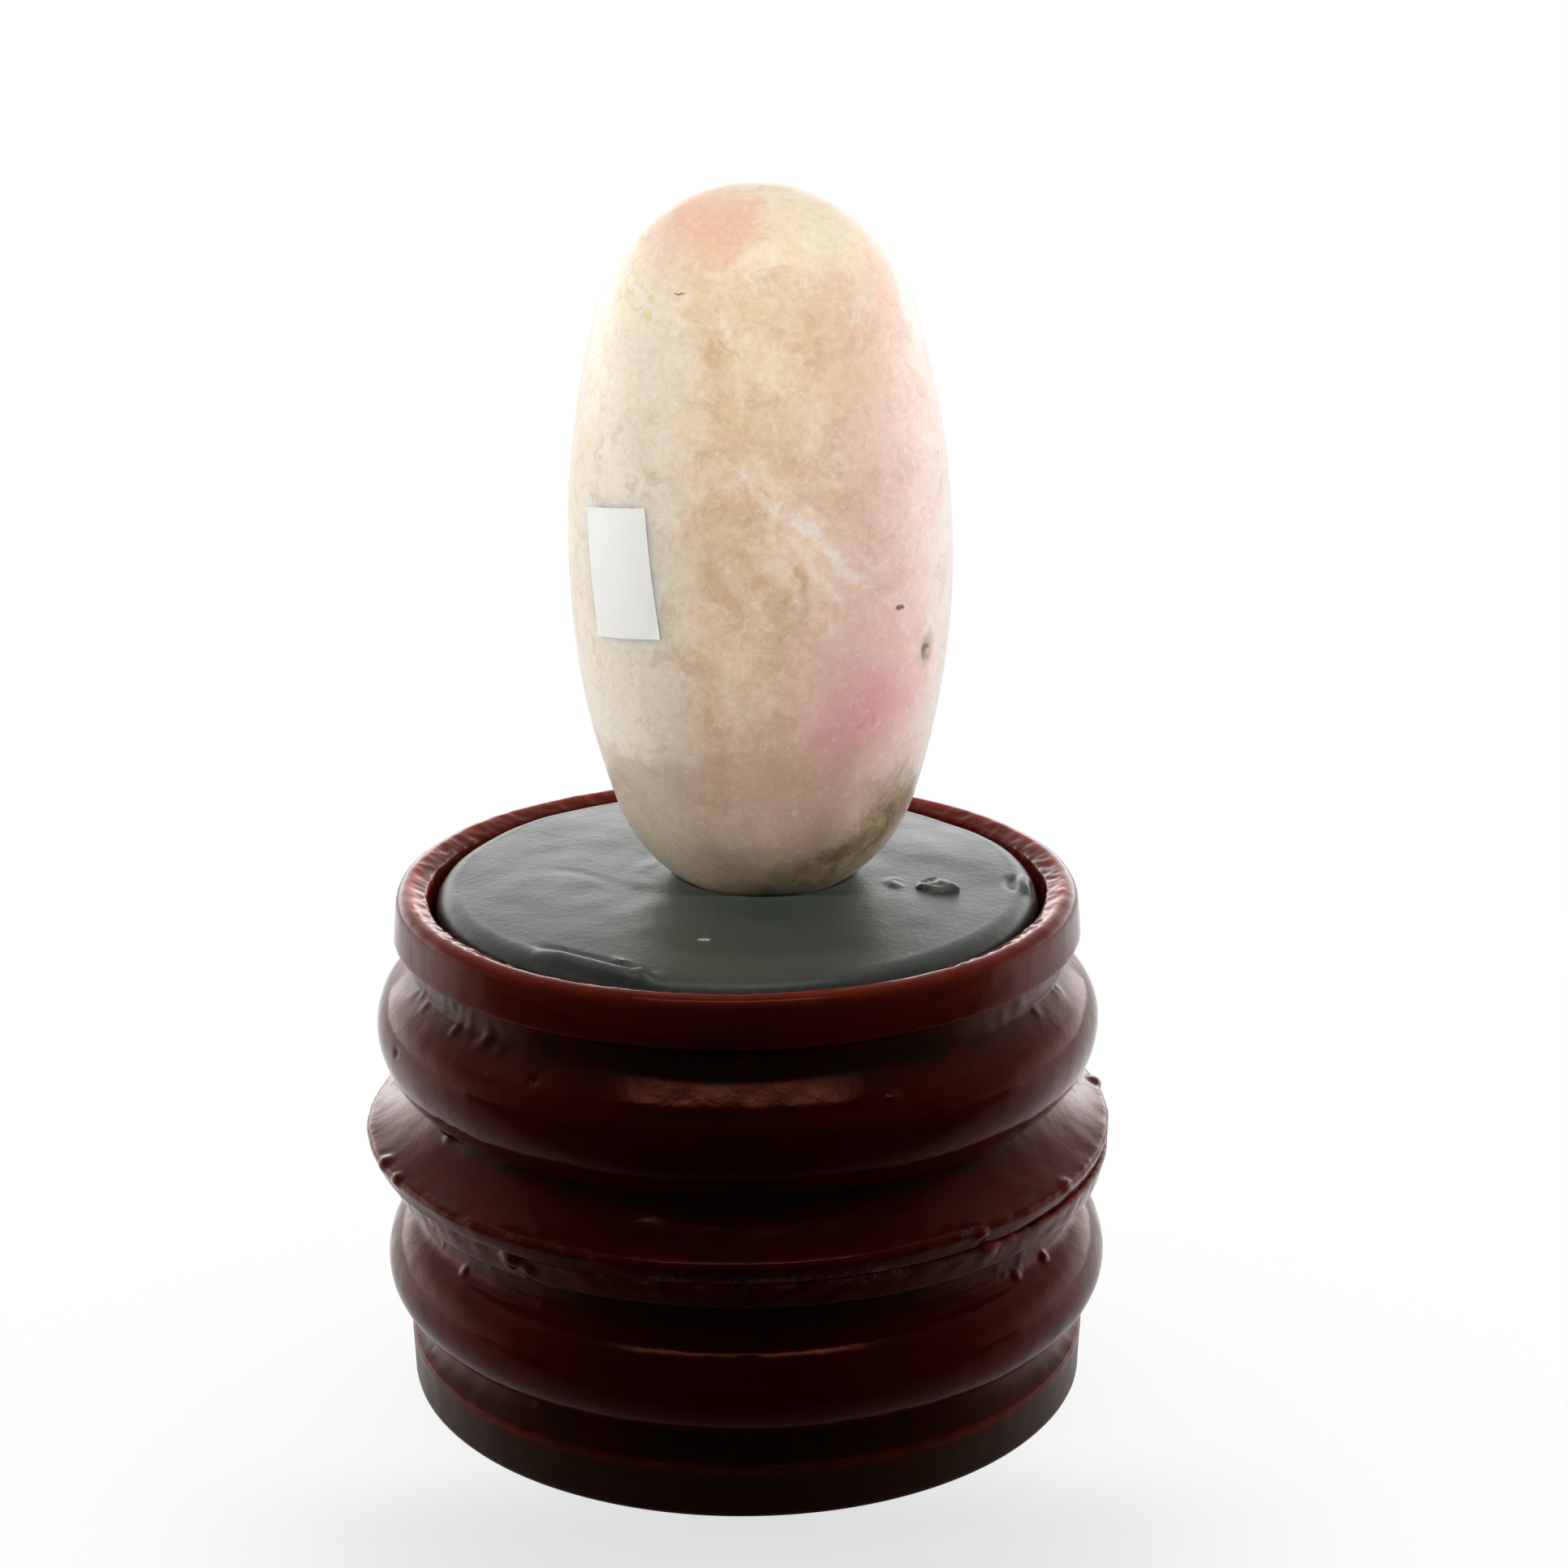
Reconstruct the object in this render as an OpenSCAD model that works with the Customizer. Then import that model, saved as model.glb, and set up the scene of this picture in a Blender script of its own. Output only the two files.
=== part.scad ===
// Lingam stone on a turned stand. The stand is two lacquered turnings, one
// glued on the other. The upper one is a shallow cup packed with putty, and
// the polished stone stands upright in the dent it has pressed in the putty.
// Millimetres, +Z up, origin under the upper turning's axis at floor level.

/* [Stone] */
// Diameter of the stone at its middle
stone_d = 49.7; // [40:0.1:58]
// Length of the stone from tip to tip
stone_l = 94.2; // [80:0.2:110]
// Radius of the long arc along the stone's flank
flank_r = 108; // [90:1:180]
// Lean of the stone to the left, in degrees
stone_lean = 0.8; // [0:0.05:3]
// Sideways place of the stone's foot from the cup's axis
stone_shift = 4; // [0:0.1:6]
// Depth to which the stone is pressed into the putty
stone_sink = 2.7; // [1:0.1:4]

/* [Paper label] */
// Width of the label round the stone
label_w = 11.2; // [6:0.1:16]
// Height of the label along the stone
label_h = 16.4; // [8:0.1:24]
// Thickness of the paper and its gum
label_t = 0.2; // [0.1:0.05:0.5]
// Height of the label's middle above the stone's middle
label_rise = 1; // [-8:0.5:12]
// Bearing of the label round the stone, in degrees from +X
label_bearing = 224; // [180:1:360]
// Tilt of the label on the stone's surface, in degrees
label_tilt = 7; // [-15:0.5:15]

/* [Putty] */
// Height of the putty's crown above the rim
pad_crown = 0.6; // [0.2:0.1:2]
// How far the putty's rolled edge lies below the rim
pad_drop = 0.5; // [0.1:0.1:0.8]
// Width of the crevice between the putty and the rim
crevice_w = 1.3; // [0.6:0.1:3]
// Depth of that crevice
crevice_depth = 4; // [3.6:0.1:5.5]
// Radius of the putty's rolled edge
pad_roll = 2.4; // [1:0.1:2.6]
// Clear space round the stone in its dent
seat_gap = 0.15; // [0.05:0.05:0.4]
// Radius of the stray crumb's largest lump
crumb_r = 2; // [1:0.1:3]
// Distance of the crumb from the cup's axis
crumb_out = 27.2; // [24:0.1:33]
// Bearing of the crumb round the cup, in degrees from +X
crumb_bearing = 346; // [300:1:400]

/* [Upper turning] */
// Height of the upper turning
upper_h = 35.3; // [32:0.1:40]
// Diameter of its base, on the glue
upper_base_d = 99.2; // [94:0.2:100]
// Diameter of the flange at its sharp arris
upper_arris_d = 100.9; // [98:0.1:108]
// Height of that arris above the base
upper_arris_z = 2.4; // [1.5:0.1:4]
// Radius that softens the arris
upper_arris_soft = 0.7; // [0.2:0.1:1]
// Diameter of the waist under the bead
upper_waist_d = 84.6; // [84:0.2:91]
// Height at which the shoulder runs into the waist
upper_waist_z = 8.6; // [7.2:0.1:13]
// Radius of the hollow along the shoulder
upper_hollow_r = 18.5; // [14:0.5:80]
// How far the bead stands out from the neck
upper_bead_out = 5.25; // [3.3:0.05:6.8]
// Radius of the bead's section above its middle
upper_bead_r = 6.6; // [5.6:0.1:8]
// Radius of the bead's fuller belly below its middle
upper_belly_r = 10.1; // [8:0.1:11.6]
// Height of the bead's middle
upper_bead_z = 17.2; // [15:0.1:18.5]
// Wall between the cup's widest place and the neck outside it
neck_wall = 2; // [1.3:0.1:3.3]
// Radius of the cove between bead and neck
upper_cove_r = 3; // [1:0.1:3.6]
// Height of the rim band
rim_h = 6.4; // [5:0.1:8]
// How far the rim's top stands out from the neck
rim_out = 2; // [1.3:0.05:3.8]
// How far the rim's lower, undercut edge stands out from its top
rim_flare = 0.6; // [0.05:0.05:2.3]
// Radius that softens the rim's outer top edge
rim_soft = 1.6; // [0.5:0.1:1.8]
// How far the rim's top falls from its crest to the cup's mouth
rim_fall = 0.9; // [0.2:0.1:2]
// Radius that softens the rim's inner top edge
rim_inner_soft = 0.8; // [0.3:0.1:1]
// Diameter of the cup at its mouth
cup_d = 82.4; // [78:0.2:83]
// Diameter of the cup's floor
cup_floor_d = 80; // [74:0.2:80.6]
// Depth of the cup below the rim
cup_depth = 9; // [7:0.1:12]

/* [Lower turning] */
// Height of the lower turning
lower_h = 34.2; // [32:0.1:40]
// Diameter of the foot on the floor
foot_d = 92; // [88:0.2:98]
// Diameter of the foot at its upper arris
foot_arris_d = 92.6; // [90:0.1:98]
// Height of the foot's arris
foot_h = 7.4; // [5:0.1:8.6]
// Radius that softens the foot's lower edge
foot_soft = 1.2; // [0.3:0.1:2]
// Radius that softens the foot's arris
foot_arris_soft = 0.6; // [0.2:0.1:0.8]
// Diameter of the waist under the bead
lower_waist_d = 86.6; // [84:0.2:89]
// Height at which the foot's shoulder runs into the waist
lower_waist_z = 12.2; // [10.5:0.1:13]
// Radius of the hollow along the foot's shoulder
lower_hollow_r = 5; // [4:0.1:40]
// Diameter over the bead
lower_bead_d = 98.1; // [94:0.1:101]
// Radius of the bead's section
lower_bead_r = 7; // [6:0.1:8]
// Height of the bead's middle
lower_bead_z = 18; // [16:0.1:19]
// Diameter of the neck above the bead
lower_neck_d = 88.4; // [86:0.2:92]
// Radius of the cove between bead and neck
lower_cove_r = 2.6; // [1:0.1:3.2]
// Height of the top plate's edge band
plate_h = 3.8; // [3:0.1:5]
// Diameter of the top plate at its lower, undercut edge
plate_low_d = 96.4; // [94:0.1:99]
// Diameter of the top plate at its top
plate_top_d = 98.6; // [95:0.1:99]

/* [Glue joint] */
// Thickness of the glue between the turnings
glue_t = 0.3; // [0.1:0.05:0.8]
// How far the glue stops short of the upper turning's edge
glue_inset = 0.7; // [0.3:0.1:4]
// Sideways slip of the lower turning when it was glued
stack_slip = 1; // [0:0.1:1.6]

/* [Hidden] */
$fn = 128;

stone_color = "#cbb295";
paper_color = "#ece8dd";
putty_color = "#77837d";
lacquer_color = "#5c1f17";
glue_color = "#b9a06a";

// Heights of the stack, from the floor up
upper_base_z = lower_h + glue_t;
rim_z = upper_base_z + upper_h;
cup_floor_z = rim_z - cup_depth;
crown_z = rim_z + pad_crown;

// The neck follows the cup and its wall; the bead and the rim follow the neck
upper_neck_d = max(cup_d, cup_floor_d) + 2 * neck_wall;
upper_bead_d = upper_neck_d + 2 * upper_bead_out;
rim_top_d = upper_neck_d + 2 * rim_out;
rim_low_d = rim_top_d + 2 * rim_flare;

// The stone's outline is a four-centre oval: two flank arcs and two tip arcs
stone_a = stone_d / 2;
stone_c = stone_l / 2;
tip_r = (2 * flank_r * stone_a - stone_a ^ 2 - stone_c ^ 2) / (2 * (flank_r - stone_c));
tip_z = stone_c - tip_r;
flank_x = stone_a - flank_r;
stone_mid_z = crown_z - stone_sink + stone_c;

// The putty's top is a shallow dome that runs into the rolled edge
pad_edge_r = cup_d / 2 - crevice_w;
pad_edge_z = rim_z - pad_drop;
roll_x = pad_edge_r - pad_roll;
roll_z = pad_edge_z - pad_roll;
roll_drop = crown_z - roll_z;
dome_r = (roll_x ^ 2 + roll_drop ^ 2 - pad_roll ^ 2) / (2 * (roll_drop - pad_roll));
dome_z = crown_z - dome_r;
// The dome's arc is a small share of a very large round, which needs many sides
dome_sides = 1440;
// The crumb is small, so its rounds need few sides
crumb_sides = 40;
crevice_z = rim_z - crevice_depth;

// Radius of the cup's wall at a height z
function cup_wall_r(z) =
    cup_floor_d / 2 + (cup_d - cup_floor_d) / 2 * (z - cup_floor_z) / (cup_depth - rim_fall);

// Height of the putty's dome at a distance r from the axis
function dome_height(r) = dome_z + sqrt(dome_r ^ 2 - r ^ 2);

function unit(v) = v / norm(v);

// Distance from a corner q, between p and s, to where a round of radius r touches its edges
function corner_reach(p, q, s, r) = r / tan(acos(unit(p - q) * unit(s - q)) / 2);

// The web between two straight edges that meet at q and a round of radius r
// that touches both. Taken from an outer corner it rounds that corner. It
// stands proud of q, so that nothing of the corner is left.
module corner_web(p, q, s, r) {
    a = unit(p - q);
    b = unit(s - q);
    reach = corner_reach(p, q, s, r);
    middle = q + unit(a + b) * norm([reach, r]);
    difference() {
        polygon([q - unit(a + b) * r, q + a * reach, middle, q + b * reach]);
        translate(middle) circle(r);
    }
}

// The web between a bead's top and the neck above it: a cove that touches both
module cove_web(bead_mid, bead_r, neck_r, cove_r) {
    across = neck_r + cove_r - bead_mid[0];
    rise = sqrt((bead_r + cove_r) ^ 2 - across ^ 2);
    middle = bead_mid + [across, rise];
    difference() {
        polygon([bead_mid, middle, bead_mid + [0, rise]]);
        translate(middle) circle(cove_r);
    }
}

// The round that hollows a shoulder from its waist p to its outer edge q
module hollow_round(p, q, r) {
    chord = q - p;
    outward = unit([-chord[1], chord[0]]);
    translate((p + q) / 2 + outward * sqrt(r ^ 2 - (norm(chord) / 2) ^ 2)) circle(r);
}

// Half outline shared by both turnings: base, softened arris, hollow shoulder,
// bead with its belly, cove, neck and an undercut band at the top. A narrow land,
// as wide as the arris's round reaches, parts that round from the hollow.
module turned_outline(base_edge, arris, arris_soft, waist, hollow_r, bead_mid, bead_r, belly_r,
                      neck_r, cove_r, band_low, band_top) {
    land_end = arris + 2 * unit(waist - arris) * corner_reach(base_edge, arris, waist, arris_soft);
    difference() {
        polygon([[0, 0], base_edge, arris, waist, [waist[0], bead_mid[1]], [0, bead_mid[1]]]);
        hollow_round(waist, land_end, hollow_r);
        corner_web(base_edge, arris, waist, arris_soft);
    }
    translate([0, bead_mid[1]]) square([neck_r, band_low[1] - bead_mid[1]]);
    translate(bead_mid) circle(bead_r);
    intersection() {
        translate(bead_mid + [bead_r - belly_r, 0]) circle(belly_r);
        square(bead_mid + [bead_r, 0]);
    }
    cove_web(bead_mid, bead_r, neck_r, cove_r);
    polygon([[0, band_low[1]], band_low, band_top, [0, band_top[1]]]);
}

// Half outline of the stone, larger by grow all round
module stone_outline(grow) {
    far = 2 * flank_r;
    to_tip = unit([-flank_x, tip_z]);
    to_foot = unit([-flank_x, -tip_z]);
    intersection() {
        translate([flank_x, 0]) circle(flank_r + grow);
        polygon([[0, -tip_z], [0, -tip_z] + to_foot * far, [0, tip_z] + to_tip * far, [0, tip_z]]);
    }
    intersection() {
        translate([0, tip_z]) circle(tip_r + grow);
        polygon([[0, tip_z], [0, tip_z] + to_tip * far, [0, far]]);
    }
    intersection() {
        translate([0, -tip_z]) circle(tip_r + grow);
        polygon([[0, -tip_z], [0, -far], [0, -tip_z] + to_foot * far]);
    }
}

// Sets its children where the stone stands, with the lean about its foot
module at_stone() {
    translate([stone_shift, 0, stone_mid_z - stone_c])
        rotate([0, -stone_lean, 0])
            translate([0, 0, stone_c]) children();
}

module stone_body(grow = 0) {
    rotate_extrude() stone_outline(grow);
}

module lingam_stone() {
    color(stone_color) at_stone() stone_body();
}

module paper_label() {
    color(paper_color) at_stone() intersection() {
        difference() {
            stone_body(label_t);
            stone_body();
        }
        rotate([0, 0, label_bearing]) translate([stone_a, 0, label_rise]) rotate([label_tilt, 0, 0])
            cube([stone_a, label_w, label_h], center = true);
    }
}

module pad_outline() {
    tangent = unit([roll_x, roll_z - dome_z]) * 2 * dome_r;
    polygon([[0, cup_floor_z], [cup_floor_d / 2, cup_floor_z],
             [cup_wall_r(crevice_z), crevice_z], [pad_edge_r, roll_z], [0, roll_z]]);
    translate([roll_x, roll_z]) circle(pad_roll);
    intersection() {
        translate([0, dome_z]) circle(dome_r, $fn = dome_sides);
        polygon([[0, roll_z], [roll_x, roll_z], [0, dome_z] + tangent, [0, dome_z + 2 * dome_r]]);
    }
}

module pad_body() {
    rotate_extrude() pad_outline();
}

module putty_pad() {
    color(putty_color) difference() {
        pad_body();
        at_stone() stone_body(seat_gap);
    }
}

// A small pinched lump of putty, three rounds cut flat where it sits on the dome
module putty_crumb() {
    slope = asin(crumb_out / dome_r);
    reach = 3 * crumb_r;
    color(putty_color) rotate([0, 0, crumb_bearing])
        translate([crumb_out, 0, dome_height(crumb_out)]) rotate([0, slope, 0]) intersection() {
            union() {
                translate([0, 0, crumb_r * 0.2]) sphere(crumb_r, $fn = crumb_sides);
                translate([crumb_r * 0.5, crumb_r, 0]) sphere(crumb_r * 0.7, $fn = crumb_sides);
                translate([-crumb_r * 0.4, -crumb_r, 0]) sphere(crumb_r * 0.8, $fn = crumb_sides);
            }
            translate([-reach, -reach, 0]) cube([2 * reach, 2 * reach, reach]);
        }
}

module upper_stand() {
    base_edge = [upper_base_d / 2, 0];
    arris = [upper_arris_d / 2, upper_arris_z];
    waist = [upper_waist_d / 2, upper_waist_z];
    bead_mid = [upper_bead_d / 2 - upper_bead_r, upper_bead_z];
    band_low = [rim_low_d / 2, upper_h - rim_h];
    rim_top = [rim_top_d / 2, upper_h];
    crest = rim_top - [rim_soft, 0];
    mouth = [cup_d / 2, upper_h - rim_fall];
    floor_edge = [cup_floor_d / 2, upper_h - cup_depth];
    color(lacquer_color) translate([0, 0, upper_base_z]) rotate_extrude() difference() {
        turned_outline(base_edge, arris, upper_arris_soft, waist, upper_hollow_r,
                       bead_mid, upper_bead_r, upper_belly_r,
                       upper_neck_d / 2, upper_cove_r, band_low, rim_top);
        polygon([[0, floor_edge[1]], floor_edge, mouth, crest, crest + [0, rim_fall],
                 [0, upper_h + rim_fall]]);
        corner_web(band_low, rim_top, crest, rim_soft);
        corner_web(crest, mouth, floor_edge, rim_inner_soft);
    }
}

module lower_stand() {
    base_edge = [foot_d / 2, 0];
    arris = [foot_arris_d / 2, foot_h];
    waist = [lower_waist_d / 2, lower_waist_z];
    bead_mid = [lower_bead_d / 2 - lower_bead_r, lower_bead_z];
    band_low = [plate_low_d / 2, lower_h - plate_h];
    color(lacquer_color) translate([stack_slip, 0, 0]) rotate_extrude() difference() {
        turned_outline(base_edge, arris, foot_arris_soft, waist, lower_hollow_r,
                       bead_mid, lower_bead_r, lower_bead_r,
                       lower_neck_d / 2, lower_cove_r, band_low, [plate_top_d / 2, lower_h]);
        corner_web([0, 0], base_edge, arris, foot_soft);
    }
}

module glue_film() {
    color(glue_color) translate([stack_slip / 2, 0, lower_h])
        cylinder(h = glue_t, d = min(upper_base_d, plate_top_d) - stack_slip - 2 * glue_inset);
}

lingam_stone();
paper_label();
putty_pad();
putty_crumb();
upper_stand();
lower_stand();
glue_film();
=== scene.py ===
# %% [markdown]
# # A lingam stone on its turned stand
#
# The real object is a polished oval stone that stands upright in grey putty. The putty fills the
# cup of a round stand, and the stand is two lacquered turnings, glued one on the other. This
# lesson dresses the solids of that object. Each step makes one piece, gives it a finish and sets
# it on the body that it moves with.

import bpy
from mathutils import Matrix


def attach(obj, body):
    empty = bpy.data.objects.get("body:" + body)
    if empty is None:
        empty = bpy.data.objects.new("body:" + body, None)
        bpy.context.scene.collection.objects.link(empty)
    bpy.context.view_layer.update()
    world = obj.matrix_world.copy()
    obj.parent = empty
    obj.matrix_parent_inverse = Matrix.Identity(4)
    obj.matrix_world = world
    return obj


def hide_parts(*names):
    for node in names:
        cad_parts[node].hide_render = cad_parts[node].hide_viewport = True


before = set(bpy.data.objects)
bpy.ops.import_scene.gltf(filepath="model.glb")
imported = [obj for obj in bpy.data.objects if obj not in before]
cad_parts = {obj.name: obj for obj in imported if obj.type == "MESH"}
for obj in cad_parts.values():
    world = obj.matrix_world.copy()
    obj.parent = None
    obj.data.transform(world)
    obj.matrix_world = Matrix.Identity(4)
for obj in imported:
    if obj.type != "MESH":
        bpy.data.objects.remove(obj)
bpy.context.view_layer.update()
print("solids:", sorted(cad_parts))

# %% [markdown]
# ## The camera
#
# The camera stands where the photograph was taken: a little higher than the stone's top, looking
# down by about 17 degrees. It could be aimed with a tracking constraint, but a matrix built from
# its right, up and forward directions also carries the slight roll of a camera held by hand.

# %% Camera
from math import acos, asin, atan2, ceil, cos, degrees, hypot, pi, radians, sin, sqrt, tan
import random

import bmesh
import bpy
from mathutils import Matrix, Vector, kdtree, noise

MM = 0.001
EYE = Vector((0.944, -396.87, 205.245)) * MM
YAW, PITCH, ROLL = 0.0135143, 0.2990861, -0.0028327
FOCAL_PX, PHOTO_PX, SENSOR = 3867.31, 1932, 36.0

forward = Vector((sin(YAW) * cos(PITCH), cos(YAW) * cos(PITCH), -sin(PITCH)))
level = Vector((cos(YAW), -sin(YAW), 0))
upright = level.cross(forward)
right = cos(ROLL) * level + sin(ROLL) * upright
up = cos(ROLL) * upright - sin(ROLL) * level

scene = bpy.context.scene
scene.view_settings.view_transform = "Standard"
lens = bpy.data.cameras.new("camera")
lens.sensor_width = SENSOR
lens.lens = FOCAL_PX / PHOTO_PX * SENSOR
camera = bpy.data.objects.new("camera", lens)
camera.matrix_world = Matrix.Translation(EYE) @ Matrix((right, up, -forward)).transposed().to_4x4()
scene.collection.objects.link(camera)
scene.camera = camera
print("camera: lens %.1f mm, %.0f mm from the middle of the base" % (lens.lens, EYE.length / MM))

# %% [markdown]
# ## Finishes as expressions
#
# A finish is a small graph of shader nodes. Wiring it by hand takes many lines, so one class wraps
# a node's output and lets it take part in Python arithmetic: `1 - mask` adds a Math node. Another
# class owns the graph, and its `node` method adds any other node from its type, its settings and
# its sockets.

# %% Shader expressions
class Wire:
    """One output of a shader node. Arithmetic on it adds Math nodes to its graph."""

    def __init__(self, graph, socket):
        self.graph, self.socket = graph, socket

    def math(self, operation, a, b):
        return self.graph.node("Math", {"operation": operation}, {0: a, 1: b})

    def __add__(self, other):
        return self.math("ADD", self, other)

    def __sub__(self, other):
        return self.math("SUBTRACT", self, other)

    def __rsub__(self, other):
        return self.math("SUBTRACT", other, self)

    def __mul__(self, other):
        return self.math("MULTIPLY", self, other)

    def larger(self, other):
        return self.math("MAXIMUM", self, other)

    __radd__, __rmul__ = __add__, __mul__


class Graph:
    """A node tree that is written as expressions."""

    def __init__(self, tree):
        self.tree = tree

    def node(self, kind, settings=None, sockets=None, out=0):
        made = self.tree.nodes.new("ShaderNode" + kind)
        for name, value in (settings or {}).items():
            setattr(made, name, value)
        for name, value in (sockets or {}).items():
            self.plug(made.inputs[name], value)
        return Wire(self, made.outputs[out])

    def plug(self, socket, value):
        if isinstance(value, Wire):
            self.tree.links.new(value.socket, socket)
        else:
            socket.default_value = value

    def mix(self, mask, a, b):
        """Colour a where the mask is 0 and colour b where it is 1."""
        a, b = [(*c, 1) if isinstance(c, tuple) else c for c in (a, b)]
        return self.node("Mix", {"data_type": "RGBA"}, {0: mask, 6: a, 7: b}, out=2)

    def step(self, value, low, high):
        """0 below low and 1 above high, with a smooth rise between. low may be the larger."""
        ends = {"Value": value, "From Min": low, "From Max": high}
        return self.node("MapRange", {"interpolation_type": "SMOOTHSTEP"}, ends)

    def vector(self, operation, a, b):
        return self.node("VectorMath", {"operation": operation}, {0: a, 1: b})

    def axes(self, vector):
        split = self.node("SeparateXYZ", None, {0: vector})
        return [Wire(self, o) for o in split.socket.node.outputs]


class Finish(Graph):
    """A material whose patterns are laid out in millimetres about a point of the object."""

    def __init__(self, name, **constants):
        self.material = bpy.data.materials.new(name)
        self.material.use_nodes = True
        super().__init__(self.material.node_tree)
        self.shader = self.tree.nodes["Principled BSDF"]
        for socket, value in constants.items():
            self.shader.inputs[socket.replace("_", " ")].default_value = value

    def place(self, centre):
        here = self.node("TexCoord", out="Object")
        scaled = self.vector("MULTIPLY", here, (1 / MM, 1 / MM, 1 / MM))
        return self.vector("SUBTRACT", scaled, centre)

    def cloud(self, place, size, detail=3.0, rough=0.55, out=0):
        """Noise from 0 to 1 whose lumps are about size millimetres wide."""
        sockets = {"Vector": place, "Scale": 1 / size, "Detail": detail, "Roughness": rough}
        return self.node("TexNoise", None, sockets, out)

    def warp(self, place, size, reach):
        """The same place, pushed about by up to half of reach millimetres."""
        push = self.vector("SUBTRACT", self.cloud(place, size, out=1), (0.5, 0.5, 0.5))
        return self.vector("ADD", place, self.vector("MULTIPLY", push, (reach,) * 3))

    def spot(self, place, centre, radii, soft=0.6):
        """1 inside an ellipsoid and 0 outside it; soft is the share of it that fades."""
        off = self.vector("SUBTRACT", place, centre)
        off = self.vector("DIVIDE", off, radii)
        away = self.node("VectorMath", {"operation": "LENGTH"}, {0: off}, out=1)
        return self.step(away, 1.0, 1.0 - soft)

    def wear(self, colour, roughness, height, depth):
        """Feeds the shader. depth is the bump's height in millimetres."""
        bump = self.node("Bump", None, {"Height": height, "Distance": depth * MM, "Strength": 1.0})
        for socket, value in (("Base Color", colour), ("Roughness", roughness), ("Normal", bump)):
            self.plug(self.shader.inputs[socket], value)


print("shader expressions ready")

# %% [markdown]
# ## Floor and light
#
# The object stands on plain white paper, in soft light from the sides, from behind and from
# above. The side of the room towards the camera is dark, and the gloss of the lacquer shows it:
# the stand's front is almost black while its flanks are pale. So the world is a white tent that
# fades towards the camera and towards its top. A panel above the front is there for the gloss
# alone, and three soft lamps are aimed at the stone alone, as a photographer would do to keep it
# bright. The paper is white to the eye but gives little light back, because its own colour is grey
# and the white is added for camera and mirror rays only.

# %% Floor and tent
TENT_LIGHT, PANEL_LIGHT, ROOM_LIGHT = 2.2, 4.0, 0.01
# Each pair is where a change begins and where it is complete, as parts of a direction of length 1
PANEL_ENDS, PANEL_LOW = (0.22, 0.02), (0.5, 0.7)
PANEL_FRONT, PANEL_BACK = (-0.36, -0.26), (-0.11, -0.20)
WALL_RISE, BACK_RISE, BACK_MORE = (-0.5, 1.0), (0.5, 0.95), 0.45
TOP_FADE, TOP_LESS = (0.05, 0.5), 0.75

world = bpy.data.worlds.new("tent")
world.use_nodes = True
scene.world = world
tent = Graph(world.node_tree)
wide, deep, high = tent.axes(tent.node("TexCoord", out="Generated"))
panel = tent.step(wide * wide, *PANEL_ENDS) * tent.step(high, *PANEL_LOW)
panel = panel * tent.step(deep, *PANEL_FRONT) * tent.step(deep, *PANEL_BACK)
panel = panel * tent.node("LightPath", out="Is Glossy Ray")
walls = tent.step(deep, *WALL_RISE) * (1 - tent.step(high, *TOP_FADE) * TOP_LESS)
walls = walls * (1 + tent.step(deep, *BACK_RISE) * BACK_MORE)
lit = (panel * PANEL_LIGHT).larger(walls * TENT_LIGHT)
tent.plug(world.node_tree.nodes["Background"].inputs["Strength"], lit + ROOM_LIGHT)
world.node_tree.nodes["Background"].inputs["Color"].default_value = (1, 1, 1, 1)

LAMP_AIM, LAMP_R, LAMP_BLEND = Vector((3, 0, 119)), 0.02, 0.5
for side, stands, aim, watts, cone in (
        ("left", Vector((-330, -200, 235)), LAMP_AIM, 5.1, 17.0),
        ("right", Vector((310, -225, 250)), LAMP_AIM, 5.1, 17.0),
        ("top", Vector((0, 30, 440)), Vector((3, 0, 160)), 1.8, 8.0)):
    bulb = bpy.data.lights.new("stone_lamp_" + side, "SPOT")
    bulb.energy, bulb.shadow_soft_size = watts, LAMP_R
    bulb.spot_size, bulb.spot_blend = radians(cone), LAMP_BLEND
    lamp = bpy.data.objects.new("stone_lamp_" + side, bulb)
    lamp.matrix_world = (Matrix.Translation(stands * MM)
                         @ (aim - stands).to_track_quat("-Z", "Y").to_matrix().to_4x4())
    lamp.visible_glossy = False
    scene.collection.objects.link(lamp)

FLOOR_R, FLOOR_WHITE = 12.0, 0.975
PAPER_GREY, FRONT_SHADE_GREY, FLOOR_LIGHT = 0.5, 0.03, 0.24
FOOT_FRONT, SHADE, SHADE_SHARE = (1, -40, 0), (0.60, 0.60, 0.62), 0.6
bm = bmesh.new()
bmesh.ops.create_circle(bm, cap_ends=True, radius=FLOOR_R, segments=96)
paper_mesh = bpy.data.meshes.new("floor")
bm.to_mesh(paper_mesh)
bm.free()
floor = bpy.data.objects.new("floor", paper_mesh)
scene.collection.objects.link(floor)

paper = Finish("floor_paper", Roughness=0.9, Specular_IOR_Level=0.0, Emission_Strength=1.0)
seen = [paper.node("LightPath", out=ray) for ray in
        ("Is Camera Ray", "Is Glossy Ray", "Is Transmission Ray")]
to_front = paper.axes(paper.place((0, 0, 0)))[1]
# In front of the object the paper's own grey is near black, a painted shade for the dark side of the
# room; camera rays still see it white.
behind = paper.step(to_front, -75, -50)
off_foot = paper.node("VectorMath", {"operation": "LENGTH"}, {0: paper.place(FOOT_FRONT)}, out=1)
greys = [(grey,) * 3 for grey in (FRONT_SHADE_GREY, PAPER_GREY)]
glows = [(FLOOR_WHITE - FLOOR_LIGHT * grey,) * 3 for grey in (FRONT_SHADE_GREY, PAPER_GREY)]
# Mirror rays see the paper's white fade out towards the front: painted shade.
mirrored = seen[1].larger(seen[2]) * paper.step(to_front, -80, 70)
white = paper.mix(behind, *glows)
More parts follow.
